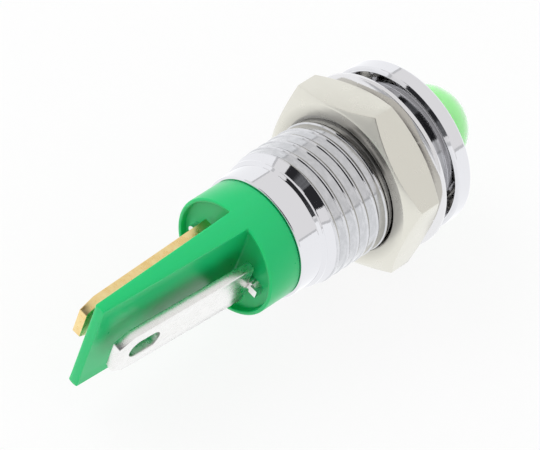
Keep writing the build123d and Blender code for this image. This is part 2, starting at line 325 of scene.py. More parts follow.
def thread_tool(name, steps_per_turn=128):
    """Section of the cut between two ridges, screwed about Y."""
    start_clean()
    bpy.ops.mesh.primitive_circle_add(vertices=len(CUT), radius=MM, location=(0, 0, 0))
    tool = name_new(name)
    start = START_TURN * 2 * math.pi
    for point, (offset, radius) in zip(tool.data.vertices, CUT):
        place = (
            radius * math.cos(start),
            FIRST_RIDGE + START_TURN * PITCH + offset,
            -radius * math.sin(start),
        )
        point.co = Vector(place) * MM
    screw = tool.modifiers.new("screw", "SCREW")
    screw.axis = "Y"
    turns = END_TURN - START_TURN
    screw.angle = 2 * math.pi * turns
    screw.screw_offset = PITCH * turns * MM
    screw.steps = round(steps_per_turn * turns)
    screw.render_steps = screw.steps
    screw.use_merge_vertices = False
    bpy.ops.object.modifier_apply(modifier=screw.name)
    bpy.ops.object.mode_set(mode="EDIT")
    bpy.ops.mesh.select_all(action="DESELECT")
    bpy.ops.mesh.select_mode(type="EDGE")
    bpy.ops.mesh.select_non_manifold()
    bpy.ops.mesh.edge_face_add()
    bpy.ops.mesh.select_all(action="SELECT")
    bpy.ops.mesh.normals_make_consistent(inside=False)
    bpy.ops.object.mode_set(mode="OBJECT")
    return tool


thread_cut = thread_tool("thread_tool")
print("thread tool:", len(thread_cut.data.polygons), "faces,", count_open_edges(thread_cut), "open")
cut(body, thread_cut)
finish_piece(body, "bezel_body", slot="chrome_plate", angle=36, flat=True)

# %% [markdown]
# ## The hexagon nut
#
# A nut starts as hexagon bar.  Both faces are turned, which leaves a chamfer of 30
# degrees on every corner.  The same two shapes make it here: a cylinder primitive with
# six sides, and a turned double cone that it is intersected with.  Bevelled corners would
# be quicker, but only a real intersection gives the arcs where the cone meets the flats.

# %% Hexagon and double cone
NUT_LOW, NUT_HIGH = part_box("hex_nut")
NUT_FRONT = NUT_LOW.y / MM
NUT_REAR = NUT_HIGH.y / MM
NUT_CORNER_R = 10.0 / math.sqrt(3)
NUT_FACE_R = 4.85
NUT_SEAT_R = 4.65
NUT_TURN = math.radians(2)
NUT_SINK = 0.1
CHAMFER_SLOPE = math.tan(math.radians(30))
OVERSIZE = 0.2
envelope_r = NUT_CORNER_R + OVERSIZE
drop = (NUT_CORNER_R - NUT_FACE_R) * CHAMFER_SLOPE

start_clean()
bpy.ops.mesh.primitive_cylinder_add(
    vertices=6,
    radius=NUT_CORNER_R * MM,
    depth=(NUT_REAR - NUT_FRONT) * MM,
    location=(0, (NUT_FRONT + NUT_REAR) / 2 * MM, 0),
    rotation=(math.pi / 2, 0, 0),
)
nut = name_new("nut_chamfered")
bpy.ops.object.mode_set(mode="EDIT")
bpy.ops.mesh.select_all(action="SELECT")
bpy.ops.transform.rotate(value=NUT_TURN, orient_axis="Y", center_override=(0, 0, 0))
bpy.ops.object.mode_set(mode="OBJECT")
corners = {round(math.degrees(math.atan2(v.co.z, v.co.x)), 1) for v in nut.data.vertices}
print("nut corners at", sorted(corners))

envelope = turn(
    "nut_envelope",
    [
        (THREAD_R, NUT_FRONT + NUT_SINK),
        (THREAD_R + NUT_SINK, NUT_FRONT),
        (NUT_SEAT_R, NUT_FRONT),
        (envelope_r, NUT_FRONT + (envelope_r - NUT_SEAT_R) * CHAMFER_SLOPE),
        (envelope_r, NUT_REAR - drop - OVERSIZE * CHAMFER_SLOPE),
        (NUT_FACE_R, NUT_REAR),
        (THREAD_R + NUT_SINK, NUT_REAR),
        (THREAD_R, NUT_REAR - NUT_SINK),
    ],
    steps=144,
)
cut(nut, envelope, "INTERSECT")
soften(nut, 0.035, segments=3, angle=20)
finish_piece(nut, "hex_nut", slot="nickel_plate", angle=28)

# %% [markdown]
# ## The lock washer
#
# An internal-tooth washer is stamped from spring strip: a plain rim with twelve teeth
# inside, each twisted so that its corners bite.  Stamping rolls the rim's outer edge over
# on the side of the nut, and the outline has that slope.  The rim is turned, one tooth is
# modelled and twisted a little, and its copies go round the rim.

# %% Rim and teeth
WASHER_LOW, WASHER_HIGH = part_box("lock_washer")
WASHER_R = WASHER_HIGH.x / MM
WASHER_MIDDLE = (WASHER_LOW.y + WASHER_HIGH.y) / 2 / MM
WASHER_RING_R = 4.6
WASHER_T = 0.55
WASHER_ROLL = 0.28
TOOTH_COUNT = 12
TOOTH_SIZE = (0.65, 0.3, 0.7)
TOOTH_TWIST = math.radians(15)
TOOTH_MIDDLE_R = 4.425

washer = turn(
    "washer_toothed",
    [
        (WASHER_RING_R, WASHER_MIDDLE - WASHER_T / 2),
        (WASHER_R, WASHER_MIDDLE - WASHER_T / 2),
        (WASHER_R, WASHER_MIDDLE + WASHER_T / 2 - WASHER_ROLL),
        (WASHER_RING_R, WASHER_MIDDLE + WASHER_T / 2),
    ],
    steps=144,
)
soften(washer, 0.05, segments=2)
start_clean()
bpy.ops.mesh.primitive_cube_add(
    size=MM,
    location=(TOOTH_MIDDLE_R * MM, WASHER_MIDDLE * MM, 0),
    rotation=(TOOTH_TWIST, 0, 0),
    scale=TOOTH_SIZE,
)
tooth = name_new("tooth")
soften(tooth, 0.03, segments=2)
edit(tooth)
bpy.ops.mesh.select_all(action="SELECT")
for index in range(TOOTH_COUNT - 1):
    bpy.ops.mesh.duplicate()
    bpy.ops.transform.rotate(
        value=2 * math.pi / TOOTH_COUNT, orient_axis="Y", center_override=(0, 0, 0)
    )
bpy.ops.object.mode_set(mode="OBJECT")
cut(washer, tooth, "UNION")
finish_piece(washer, "lock_washer", slot="nickel_plate")

# %% [markdown]
# ## The lens
#
# The green dome is the nose of an epoxy lamp, 5.2 mm across.  It could be turned ring by
# ring like the body, but a sphere primitive already has the evenly spaced rings that keep
# a highlight round.  It is halved at its widest place, and the open edge is extruded back
# as the barrel, out as the seat ring, and filled.

# %% Dome and barrel
LENS_LOW, LENS_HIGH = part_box("led_lens")
SEAT_RING_R = LENS_HIGH.x / MM
LENS_REAR = LENS_HIGH.y / MM
LENS_R = 2.6
DOME_Y = LENS_LOW.y / MM + LENS_R

start_clean()
bpy.ops.mesh.primitive_uv_sphere_add(
    segments=96,
    ring_count=48,
    radius=LENS_R * MM,
    location=(0, DOME_Y * MM, 0),
    rotation=(math.pi / 2, 0, 0),
)
lens = name_new("lens_dome")
edit(lens)
bpy.ops.mesh.select_all(action="SELECT")
bpy.ops.mesh.bisect(plane_co=(0, DOME_Y * MM, 0), plane_no=(0, 1, 0), clear_outer=True)
pick(lens, "EDGE", on_ring(LENS_R, DOME_Y))
bpy.ops.mesh.extrude_edges_move(TRANSFORM_OT_translate={"value": (0, (STEP_Y - DOME_Y) * MM, 0)})
bpy.ops.mesh.extrude_edges_move(TRANSFORM_OT_translate={"value": (0, 0, 0)})
grow = SEAT_RING_R / LENS_R
bpy.ops.transform.resize(value=(grow, 1, grow), center_override=(0, STEP_Y * MM, 0))
bpy.ops.mesh.extrude_edges_move(TRANSFORM_OT_translate={"value": (0, (LENS_REAR - STEP_Y) * MM, 0)})
bpy.ops.mesh.edge_face_add()
bpy.ops.mesh.select_all(action="SELECT")
bpy.ops.mesh.normals_make_consistent(inside=False)
bpy.ops.object.mode_set(mode="OBJECT")
finish_piece(lens, "led_lens", slot="lens_epoxy", angle=40)

# %% [markdown]
# ## The green terminal insulator
#
# One moulding closes the body: a cap with two D-shaped pockets, a hollow spigot that
# goes into the bore, and a barrier web that runs out between the tabs.  The web's narrow
# faces carry on the cap's round side, so both are made from one disc: two cuts along the
# web divide it, the D-shaped faces are pushed in, and the strip between them is pulled
# out to the web's length.

# %% Turn the cap
GREEN_LOW, GREEN_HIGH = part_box("terminal_insulator")
CAP_R = GREEN_HIGH.x / MM
CAP_END = 12.9
SPIGOT_FRONT = GREEN_LOW.y / MM
SPIGOT_R = BORE_R
CAVITY_R = 2.75
CAVITY_END = 11.0
POCKET_R = 3.25
POCKET_FLOOR = 12.5
WEB_ROOT_HALF = 0.625
WEB_TIP_HALF = 0.3
WEB_TIP = GREEN_HIGH.y / MM
AXIS_R = 0.001
NEAR = 0.002

insulator = turn(
    "insulator_moulding",
    [
        (AXIS_R, CAP_END),
        (POCKET_R, CAP_END),
        (CAP_R, CAP_END),
        (CAP_R, SHANK_END),
        (SPIGOT_R, SHANK_END),
        (SPIGOT_R, SPIGOT_FRONT),
        (CAVITY_R, SPIGOT_FRONT),
        (CAVITY_R, CAVITY_END),
        (AXIS_R, CAVITY_END),
    ],
    steps=128,
)
edit(insulator)
bpy.ops.mesh.select_all(action="SELECT")
bpy.ops.mesh.remove_doubles(threshold=2 * AXIS_R * MM)
bpy.ops.object.mode_set(mode="OBJECT")

# %% Divide the disc along the web
def on_rear_face(centre, normal):
    """Faces of the cap's rear disc."""
    return centre.y > CAP_END - 0.01 and normal.y > 0.9


def by_web_line(point):
    """Points of the disc close to one of the two cuts."""
    return abs(point.y - CAP_END) < 0.01 and abs(abs(point.x) - WEB_ROOT_HALF) < 0.08


for side in (-1, 1):
    pick(insulator, "FACE", on_rear_face)
    bpy.ops.mesh.bisect(plane_co=(side * WEB_ROOT_HALF * MM, 0, 0), plane_no=(1, 0, 0))
pick(insulator, "VERT", by_web_line)
bpy.ops.mesh.remove_doubles(threshold=0.05 * MM)
bpy.ops.object.mode_set(mode="OBJECT")
print("cap divided:", len(insulator.data.polygons), "faces")

# %% Push the pockets in and pull the web out
def in_pocket(centre, normal):
    """Faces of the two D shapes."""
    in_round = math.hypot(centre.x, centre.z) < POCKET_R - NEAR
    beside_web = abs(centre.x) > WEB_ROOT_HALF + NEAR
    return on_rear_face(centre, normal) and in_round and beside_web


def in_web_strip(centre, normal):
    """Faces of the strip between them."""
    return on_rear_face(centre, normal) and abs(centre.x) < WEB_ROOT_HALF - NEAR


pick(insulator, "FACE", in_pocket)
bpy.ops.mesh.extrude_region_move(TRANSFORM_OT_translate={"value": (0, (POCKET_FLOOR - CAP_END) * MM, 0)})
pick(insulator, "FACE", in_web_strip)
bpy.ops.mesh.extrude_region_move(TRANSFORM_OT_translate={"value": (0, (WEB_TIP - CAP_END) * MM, 0)})
bpy.ops.transform.resize(
    value=(WEB_TIP_HALF / WEB_ROOT_HALF, 1, 1), center_override=(0, WEB_TIP * MM, 0)
)
bpy.ops.mesh.select_all(action="SELECT")
bpy.ops.mesh.normals_make_consistent(inside=False)
bpy.ops.object.mode_set(mode="OBJECT")
only(insulator)
flatten = insulator.modifiers.new("flatten", "DECIMATE")
flatten.decimate_type = "DISSOLVE"
flatten.angle_limit = math.radians(0.5)
bpy.ops.object.modifier_apply(modifier=flatten.name)
soften(insulator, 0.09, segments=3, angle=30)
finish_piece(insulator, "terminal_insulator", slot="green_plastic", angle=30)

# %% [markdown]
# ## The push-on tabs
#
# Each tab is stamped from flat strip: a straight blade with a pointed end, an eye for a
# soldered wire, and a narrow leg that passes through the insulator.  A cube primitive is
# stretched to the blade, its end face is extruded and narrowed, and the middle of its
# base is pulled out as the leg.  The eye could be drawn in the blade's outline, but a
# punch does it in one cut, as the press does, and softening the edges after that rounds
# its rim too.  The finished blade leans a little towards the web.

# %% Stamp one blade
TAB_HALF_W = 1.45
TAB_T = 0.55
TAB_BASE = 12.97
TAB_END = 22.3
POINT_L = 0.9
POINT_HALF_W = 0.95
EYE_Y = 20.3
EYE_L = 2.1
EYE_W = 1.3
LEG_TOP = 0.1
LEG_BOTTOM = -0.7
LEG_END = 10.6


def eye_punch(outward):
    """Punch with round ends for the eye."""
    start_clean()
    bpy.ops.mesh.primitive_cylinder_add(
        vertices=48,
        radius=EYE_W / 2 * MM,
        depth=4 * TAB_T * MM,
        location=(outward * TAB_T / 2 * MM, EYE_Y * MM, 0),
        rotation=(0, math.pi / 2, 0),
    )
    punch = name_new("eye_punch")
    reach = (EYE_L - EYE_W) / 2
    for side in (-1, 1):
        pick(punch, "VERT", lambda p: (p.y - EYE_Y) * side > 0.001)
        bpy.ops.transform.translate(value=(0, side * reach * MM, 0))
    bpy.ops.object.mode_set(mode="OBJECT")
    return punch


def blade(name, inner_x_base, inner_x_end):
    """Blade with its inner face at the given distances from the web's middle."""
    outward = math.copysign(1, inner_x_base)
    straight_end = TAB_END - POINT_L
    start_clean()
    bpy.ops.mesh.primitive_cube_add(
        size=MM,
        location=(outward * TAB_T / 2 * MM, (TAB_BASE + straight_end) / 2 * MM, 0),
        scale=(TAB_T, straight_end - TAB_BASE, 2 * TAB_HALF_W),
    )
    tab = name_new(name)
    pick(tab, "FACE", lambda centre, normal: normal.y > 0.9)
    bpy.ops.mesh.extrude_region_move(TRANSFORM_OT_translate={"value": (0, POINT_L * MM, 0)})
    bpy.ops.transform.resize(
        value=(1, 1, POINT_HALF_W / TAB_HALF_W), center_override=(0, TAB_END * MM, 0)
    )
    for height in (LEG_TOP, LEG_BOTTOM):
        pick(tab, "FACE", lambda centre, normal: centre.y < straight_end)
        bpy.ops.mesh.bisect(plane_co=(0, 0, height * MM), plane_no=(0, 0, 1))
    pick(tab, "FACE", lambda centre, normal: normal.y < -0.9 and LEG_BOTTOM < centre.z < LEG_TOP)
    leg_length = LEG_END - TAB_BASE
    bpy.ops.mesh.extrude_region_move(TRANSFORM_OT_translate={"value": (0, leg_length * MM, 0)})
    bpy.ops.object.mode_set(mode="OBJECT")
    cut(tab, eye_punch(outward))
    soften(tab, 0.05, segments=3, angle=30)
    lean = math.atan2(inner_x_base - inner_x_end, TAB_END - TAB_BASE)
    edit(tab)
    bpy.ops.mesh.select_all(action="SELECT")
    bpy.ops.transform.rotate(
        value=-lean, orient_axis="Z", center_override=(0, TAB_BASE * MM, 0)
    )
    bpy.ops.transform.translate(value=(inner_x_base * MM, 0, 0))
    bpy.ops.object.mode_set(mode="OBJECT")
    return tab


tinned_tab = blade("tinned_blade", inner_x_base=-1.47, inner_x_end=-1.07)
finish_piece(tinned_tab, "tab_tinned", slot="tin_plate", angle=30)
brass_tab = blade("brass_blade", inner_x_base=1.29, inner_x_end=0.99)
finish_piece(brass_tab, "tab_brass", slot="tab_brass", angle=30)

# %% [markdown]
# ## Materials
#
# Every finish is procedural and reads object coordinates, in metres, so a pattern stays
# on its piece.  A colour that is the same all over is set on the shader itself, and
# noise only changes roughness and the bump, or mixes two near colours.

# %% Material helpers
def new_material(name, **sockets):
    """Principled material with plain values on its sockets."""
    material = bpy.data.materials.new(name)
    material.use_nodes = True
    shader = material.node_tree.nodes["Principled BSDF"]
    for socket, value in sockets.items():
        shader.inputs[socket.replace("_", " ").title().replace("Ior", "IOR")].default_value = value
    return material, material.node_tree, shader


def object_coordinates(tree):
    """Object coordinates of the piece itself."""
    return tree.nodes.new("ShaderNodeTexCoord").outputs["Object"]


def noise(tree, place, size_mm, detail=4, roughness=0.5):
    """Noise whose blobs are about the given size."""
    texture = tree.nodes.new("ShaderNodeTexNoise")
    texture.inputs["Scale"].default_value = 1 / (size_mm * MM)
    texture.inputs["Detail"].default_value = detail
    texture.inputs["Roughness"].default_value = roughness
    tree.links.new(place, texture.inputs["Vector"])
    return texture.outputs["Fac"]


def stretched(tree, place, scale):
    """Coordinates scaled along each axis, for grain that runs one way."""
    mapping = tree.nodes.new("ShaderNodeMapping")
    mapping.inputs["Scale"].default_value = scale
    tree.links.new(place, mapping.inputs["Vector"])
    return mapping.outputs["Vector"]


def between(tree, value, low, high):
    """Map a 0 to 1 value onto a range."""
    node = tree.nodes.new("ShaderNodeMapRange")
    node.inputs["To Min"].default_value = low
    node.inputs["To Max"].default_value = high
    tree.links.new(value, node.inputs["Value"])
    return node.outputs["Result"]


def two_colours(tree, value, first, second, low=0.35, high=0.65):
    """Colour ramp between two finishes."""
    ramp = tree.nodes.new("ShaderNodeValToRGB")
    ramp.color_ramp.elements[0].position = low
    ramp.color_ramp.elements[1].position = high
    ramp.color_ramp.elements[0].color = (*first, 1)
    ramp.color_ramp.elements[1].color = (*second, 1)
    tree.links.new(value, ramp.inputs["Fac"])
    return ramp.outputs["Color"]


def add_bump(tree, shader, height, depth_mm):
    """Bump of a real depth."""
    bump = tree.nodes.new("ShaderNodeBump")
    bump.inputs["Strength"].default_value = 1.0
    bump.inputs["Distance"].default_value = depth_mm * MM
    tree.links.new(height, bump.inputs["Height"])
    tree.links.new(bump.outputs["Normal"], shader.inputs["Normal"])


def wear(piece, material):
    """Give a piece one material."""
    piece.data.materials.clear()
    piece.data.materials.append(material)
    print(piece.name, "wears", material.name)


# %% [markdown]
# ## Masks that follow the lathe
#
# What the finish shows differs with the place along the axis and with the distance
# from it: the cutter leaves marks on the thread only, and painted shade lies in the gap
# between flange and washer and on the nut next to the thread.  So the masks measure those
# two things and nothing else.

# %% Mask helpers
def part_of(tree, place, axis):
    """One of the three coordinates."""
    axes = tree.nodes.new("ShaderNodeSeparateXYZ")
    tree.links.new(place, axes.inputs[0])
    return axes.outputs[axis]


def rising(tree, value, start, end):
    """0 at the start, 1 at the end, and even in between."""
    node = tree.nodes.new("ShaderNodeMapRange")
    node.inputs["From Min"].default_value = start
    node.inputs["From Max"].default_value = end
    tree.links.new(value, node.inputs["Value"])
    return node.outputs["Result"]


def along_axis(tree, place, *steps):
    """Value that changes along Y: pairs of a place in millimetres and a value."""
    length = SHANK_END - FLANGE_FRONT
    ramp = tree.nodes.new("ShaderNodeValToRGB")
    stops = ramp.color_ramp.elements
    while len(stops) < len(steps):
        stops.new(0.5)
    for stop, (y, value) in zip(stops, steps):
        stop.position = (y - FLANGE_FRONT) / length
        stop.color = (value, value, value, 1)
    share = rising(tree, part_of(tree, place, "Y"), FLANGE_FRONT * MM, SHANK_END * MM)
    tree.links.new(share, ramp.inputs["Fac"])
    return ramp.outputs["Color"]


def radius_of(tree, place):
    """Distance from the lamp's axis."""
    length = tree.nodes.new("ShaderNodeVectorMath")
    length.operation = "LENGTH"
    tree.links.new(stretched(tree, place, (1, 0, 1)), length.inputs[0])
    return length.outputs["Value"]


def ring_coordinates(tree, place):
    """Coordinates that only change with the radius and the place along the axis."""
    rings = tree.nodes.new("ShaderNodeCombineXYZ")
    tree.links.new(radius_of(tree, place), rings.inputs["X"])
    tree.links.new(part_of(tree, place, "Y"), rings.inputs["Y"])
    return rings.outputs[0]


def beyond_radius(tree, place, radius, fade):
    """0 nearer to the lamp's axis than the radius, 1 past the fade."""
    return rising(tree, radius_of(tree, place), radius * MM, (radius + fade) * MM)


def mixed(tree, share, first, second):
    """Mix of two colours."""
    node = tree.nodes.new("ShaderNodeMix")
    node.data_type = "RGBA"
    tree.links.new(share, node.inputs[0])
    tree.links.new(first, node.inputs[6])
    tree.links.new(second, node.inputs[7])
    return node.outputs[2]


def times(tree, first, second):
    """Product of two values."""
    node = tree.nodes.new("ShaderNodeMath")
    node.operation = "MULTIPLY"
    tree.links.new(first, node.inputs[0])
    tree.links.new(second, node.inputs[1])
    return node.outputs[0]


# %% [markdown]
# ## Plated metal
#
# Chrome is nearly a mirror, and a clean one looks like a drawing.  So the thread's band
# has grey cutting marks, and the gap between flange and washer has painted shade with
# fine rings of painted reflection in it.  Nickel is warmer and duller, and it has painted
# shade near the thread.  The washer has a thin bright plate of its own.

# %% Chrome plate
CHROME = (0.687, 0.68, 0.701)
MARKED_CHROME = (0.5, 0.5, 0.515)
# Painted shade and painted reflection rings for the gap between flange and washer.
PAINTED_GAP_SHADE = (0.5, 0.5, 0.51)
PAINTED_GAP_REFLECTION = (0.8, 0.8, 0.82)

chrome, tree, shader = new_material(
    "chrome_plate", base_color=(*CHROME, 1), metallic=1.0, roughness=0.06
)
place = object_coordinates(tree)
on_thread = along_axis(tree, place, (-0.2, 0), (0, 1), (THREAD_END, 1), (THREAD_END + 0.1, 0))
blotches = noise(tree, stretched(tree, place, (0.5, 1, 0.5)), 0.22, detail=6, roughness=0.65)
in_band = between(tree, beyond_radius(tree, place, BAND_R + 0.006, 0.02), 1, 0.55)
cut_marks = times(tree, times(tree, on_thread, in_band), blotches)
plated = two_colours(tree, cut_marks, CHROME, MARKED_CHROME, low=0.05, high=0.55)
# Painted shade in the gap between flange and washer, broken by fine rings of painted reflection.
gap_shade_share = along_axis(tree, place, (-0.02, 0), (-0.005, 1), (0.95, 1), (1.1, 0))
rings = noise(tree, ring_coordinates(tree, place), 0.09, detail=2)
shaded_gap_colour = two_colours(tree, rings, PAINTED_GAP_SHADE, PAINTED_GAP_REFLECTION, low=0.46, high=0.6)
tree.links.new(mixed(tree, gap_shade_share, plated, shaded_gap_colour), shader.inputs["Base Color"])
tree.links.new(between(tree, cut_marks, 0.05, 0.14), shader.inputs["Roughness"])
lathe_lines = noise(tree, stretched(tree, place, (0.05, 1, 0.05)), 0.08, detail=3)
add_bump(tree, shader, lathe_lines, 0.0012)
wear(body, chrome)

# %% Nickel plate
NICKEL = (0.668, 0.648, 0.582)
SHADED_NICKEL = (0.46, 0.446, 0.4)

nickel, tree, shader = new_material(
    "nickel_plate", base_color=(*NICKEL, 1), metallic=1.0, roughness=0.3
)
place = object_coordinates(tree)
tree.links.new(between(tree, noise(tree, place, 0.9), 0.22, 0.36), shader.inputs["Roughness"])
# Painted shade: the nickel darkens towards the thread, where the nut meets it.
unshaded_share = beyond_radius(tree, place, THREAD_R, 0.75)
painted_bore_shade = two_colours(tree, unshaded_share, SHADED_NICKEL, NICKEL, low=0.0, high=1.0)
tree.links.new(painted_bore_shade, shader.inputs["Base Color"])
turned_lines = noise(tree, ring_coordinates(tree, place), 0.06, detail=3)
add_bump(tree, shader, turned_lines, 0.002)
wear(nut, nickel)

# %% Washer plate
washer_plate, tree, shader = new_material(
    "washer_plate", base_color=(0.69, 0.68, 0.69, 1), metallic=1.0, roughness=0.14
)
place = object_coordinates(tree)
tree.links.new(between(tree, noise(tree, place, 0.7), 0.1, 0.2), shader.inputs["Roughness"])
add_bump(tree, shader, noise(tree, place, 0.4, detail=5), 0.002)
wear(washer, washer_plate)

# %% [markdown]
# ## Plastics
#
# Light goes a little way into both plastics and comes out again, so both have some
# subsurface scattering: a little in the moulding, more in the lens, whose epoxy is
# diffused.  The lens also has a painted pale sheen where the eye meets it at a slant.

# %% Green moulding
green, tree, shader = new_material(
    "green_plastic",
    base_color=(0.01, 0.57, 0.18, 1),
    roughness=0.32,
    specular_ior_level=0.3,
    subsurface_weight=0.35,
    subsurface_scale=0.0004,
)
shader.inputs["Subsurface Radius"].default_value = (0.3, 1.0, 0.5)
place = object_coordinates(tree)
tree.links.new(between(tree, noise(tree, place, 1.5), 0.24, 0.36), shader.inputs["Roughness"])
add_bump(tree, shader, noise(tree, place, 0.25, detail=5), 0.002)
wear(insulator, green)

# %% Lens epoxy
epoxy, tree, shader = new_material(
    "lens_epoxy",
    base_color=(0.39, 0.92, 0.37, 1),
    roughness=0.12,
    subsurface_weight=0.6,
    subsurface_scale=0.001,
)
shader.inputs["Subsurface Radius"].default_value = (0.5, 1.0, 0.5)
# Painted sheen: the lens turns paler where its surface is seen at a slant.
slant = tree.nodes.new("ShaderNodeLayerWeight")
slant.inputs["Blend"].default_value = 0.3
painted_rim_sheen = two_colours(
    tree, slant.outputs["Facing"], (0.37, 0.92, 0.35), (0.78, 0.95, 0.8), low=0.35, high=0.95
)
tree.links.new(painted_rim_sheen, shader.inputs["Base Color"])
place = object_coordinates(tree)
tree.links.new(between(tree, noise(tree, place, 1.0), 0.08, 0.16), shader.inputs["Roughness"])
add_bump(tree, shader, noise(tree, place, 0.8, detail=2), 0.002)
wear(lens, epoxy)

# %% [markdown]
# ## Tab strip
#
# Dipped tin freezes in soft blotches, and bare brass strip tarnishes in them.  One noise
# gives each metal its blotches in colour, gloss and height at once, as on the real strip.

# %% Tinned strip
tin, tree, shader = new_material(
    "tin_plate", base_color=(0.74, 0.73, 0.71, 1), metallic=1.0, roughness=0.3
)
place = object_coordinates(tree)
mottle = noise(tree, place, 0.35, detail=6, roughness=0.6)
frozen = two_colours(tree, mottle, (0.735, 0.725, 0.705), (0.8, 0.785, 0.77))
tree.links.new(frozen, shader.inputs["Base Color"])
tree.links.new(between(tree, mottle, 0.2, 0.36), shader.inputs["Roughness"])
add_bump(tree, shader, mottle, 0.006)
wear(tinned_tab, tin)

# %% Brass strip
brass, tree, shader = new_material(
    "tab_brass", base_color=(0.8, 0.6, 0.26, 1), metallic=1.0, roughness=0.28
)
place = object_coordinates(tree)
mottle = noise(tree, place, 0.4, detail=6, roughness=0.6)
tarnished = two_colours(tree, mottle, (0.78, 0.56, 0.24), (0.86, 0.68, 0.34))
tree.links.new(tarnished, shader.inputs["Base Color"])
tree.links.new(between(tree, mottle, 0.18, 0.4), shader.inputs["Roughness"])
add_bump(tree, shader, mottle, 0.01)
wear(brass_tab, brass)

# %% [markdown]
# ## Finishes of the carried-over solids
#
# The leads, the solder, the resistor and the sleeve keep their solids, which are fine
# enough for pieces that are nearly hidden.  One function gives each of their finishes
# its own colour, gloss and grain.

# %% Carried-over solids
def plain_finish(name, colour, metallic, roughness, grain_mm, depth_mm):
    """Finish with a fine grain for the pieces inside."""
    material, tree, shader = new_material(
        name, base_color=(*colour, 1), metallic=metallic, roughness=roughness
    )
    grain = noise(tree, object_coordinates(tree), grain_mm)
    tree.links.new(between(tree, grain, roughness * 0.8, roughness * 1.25), shader.inputs["Roughness"])
    add_bump(tree, shader, grain, depth_mm)
    return material


tinned_lead = plain_finish("tinned_lead", (0.78, 0.77, 0.75), 1.0, 0.32, 0.2, 0.004)
solder = plain_finish("solder", (0.82, 0.82, 0.81), 1.0, 0.25, 0.3, 0.008)
sleeve = plain_finish("sleeve_plastic", (0.85, 0.85, 0.83), 0.0, 0.45, 0.6, 0.003)
lacquer = plain_finish("lacquer", (0.72, 0.58, 0.4), 0.0, 0.3, 0.5, 0.004)
gold = plain_finish("gold_wire", (0.95, 0.72, 0.3), 1.0, 0.2, 0.05, 0.0005)
die = plain_finish("die", (0.25, 0.2, 0.12), 0.0, 0.2, 0.05, 0.0005)

CARRIED_OVER = {
    "led_cathode_lead": tinned_lead,
    "led_anode_lead": tinned_lead,
    "led_chip": die,
    "bond_wire": gold,
    "resistor_body": lacquer,
    "resistor_front_lead": tinned_lead,
    "resistor_rear_lead": tinned_lead,
    "splice_solder": solder,
    "spacer_sleeve": sleeve,
    "solder_tinned_tab": solder,
    "solder_brass_tab": solder,
}
for node, material in CARRIED_OVER.items():
    wear(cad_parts[node], material)
print(len(CARRIED_OVER), "solids keep their shape")

# %% [markdown]
# ## Floor
#
# Bright metal is lit like jewellery: a pale tent all round, so that the plating has
# something to show.  The floor is white paper, coved up into a low wall whose edge gives
# the plating a thin line.

# %% Paper floor with a low wall
PAPER_R = 0.7
COVE_R = 0.08
WALL_TOP = math.radians(17.5)
EDGE_TOP = math.radians(20.5)
COVE_STEPS = 6
floor_z = CAD_LOW.z


def raise_edge(radius, height, next_radius, next_height):
    """Pull the selected ring up and scale it to its radius."""
    bpy.ops.mesh.extrude_edges_move(
        TRANSFORM_OT_translate={"value": (0, 0, next_height - height)}
    )
    grow = next_radius / radius
    bpy.ops.transform.resize(value=(grow, grow, 1), center_override=(0, 0, 0))


start_clean()
bpy.ops.mesh.primitive_circle_add(
    vertices=96, radius=PAPER_R - COVE_R, fill_type="NGON", location=(0, 0, floor_z)
)
floor = name_new("studio_floor")
edit(floor, "EDGE")
bpy.ops.mesh.select_non_manifold()
radius, height = PAPER_R - COVE_R, 0
for step in range(1, COVE_STEPS + 1):
    angle = math.radians(90) * step / COVE_STEPS
    next_radius = PAPER_R - COVE_R + COVE_R * math.sin(angle)
    next_height = COVE_R * (1 - math.cos(angle))
    raise_edge(radius, height, next_radius, next_height)
    radius, height = next_radius, next_height
wall_height = PAPER_R * math.tan(WALL_TOP) - floor_z
edge_height = PAPER_R * math.tan(EDGE_TOP) - floor_z
raise_edge(radius, height, radius, wall_height)
raise_edge(radius, wall_height, radius, edge_height)
bpy.ops.object.mode_set(mode="OBJECT")
only(floor)
bpy.ops.object.shade_smooth_by_angle(angle=math.radians(40))
print("wall height:", round(edge_height / MM), "mm")

# %% [markdown]
# ## Paper
#
# White paper would need more light on it than the lamp should get.  So Light Path sets
# what the camera and the mirrors see of it, where white is a strength of about 1, and
# the light on the lamp itself stays plain.  A share of the real paper stays in what the
# camera sees, which keeps the lamp's shadow.

# %% Paper material
CAMERA_GLOW = 0.85
MIRROR_WHITE = 1.2
MIRROR_EDGE = 0.72


def seen_by_rays(tree, light_path, *kinds):
    """1 for a ray of any of these kinds, else 0."""
    total = light_path.outputs[kinds[0]]
    for kind in kinds[1:]:
        larger = tree.nodes.new("ShaderNodeMath")
        larger.operation = "MAXIMUM"
        tree.links.new(total, larger.inputs[0])
        tree.links.new(light_path.outputs[kind], larger.inputs[1])
        total = larger.outputs[0]
    return total


def glow(tree, colour, strength=1.0):
    """Light of one colour."""
    node = tree.nodes.new("ShaderNodeEmission")
    node.inputs["Color"].default_value = colour
    node.inputs["Strength"].default_value = strength
    return node.outputs[0]


def blended(tree, share, first, second):
    """First shader where the share is 0, second where it is 1."""
    node = tree.nodes.new("ShaderNodeMixShader")
    tree.links.new(share, node.inputs["Fac"])
    tree.links.new(first, node.inputs[1])
    tree.links.new(second, node.inputs[2])
    return node.outputs[0]


def paper_material(name, mirror_colour, mirror_strength):
    """Matt paper that keeps a shadow, and shows white to the camera and to mirrors."""
    material, tree, shader = new_material(name, base_color=(0.95, 0.95, 0.95, 1), roughness=0.9)
    light_path = tree.nodes.new("ShaderNodeLightPath")
    glowing = between(tree, light_path.outputs["Is Camera Ray"], 0, CAMERA_GLOW)
    mirrored = seen_by_rays(tree, light_path, "Is Glossy Ray", "Is Transmission Ray")
    to_camera = blended(tree, glowing, shader.outputs[0], glow(tree, (1, 1, 1, 1)))
    to_mirror = blended(tree, mirrored, to_camera, glow(tree, mirror_colour, mirror_strength))
    tree.links.new(to_mirror, tree.nodes["Material Output"].inputs["Surface"])
    return material


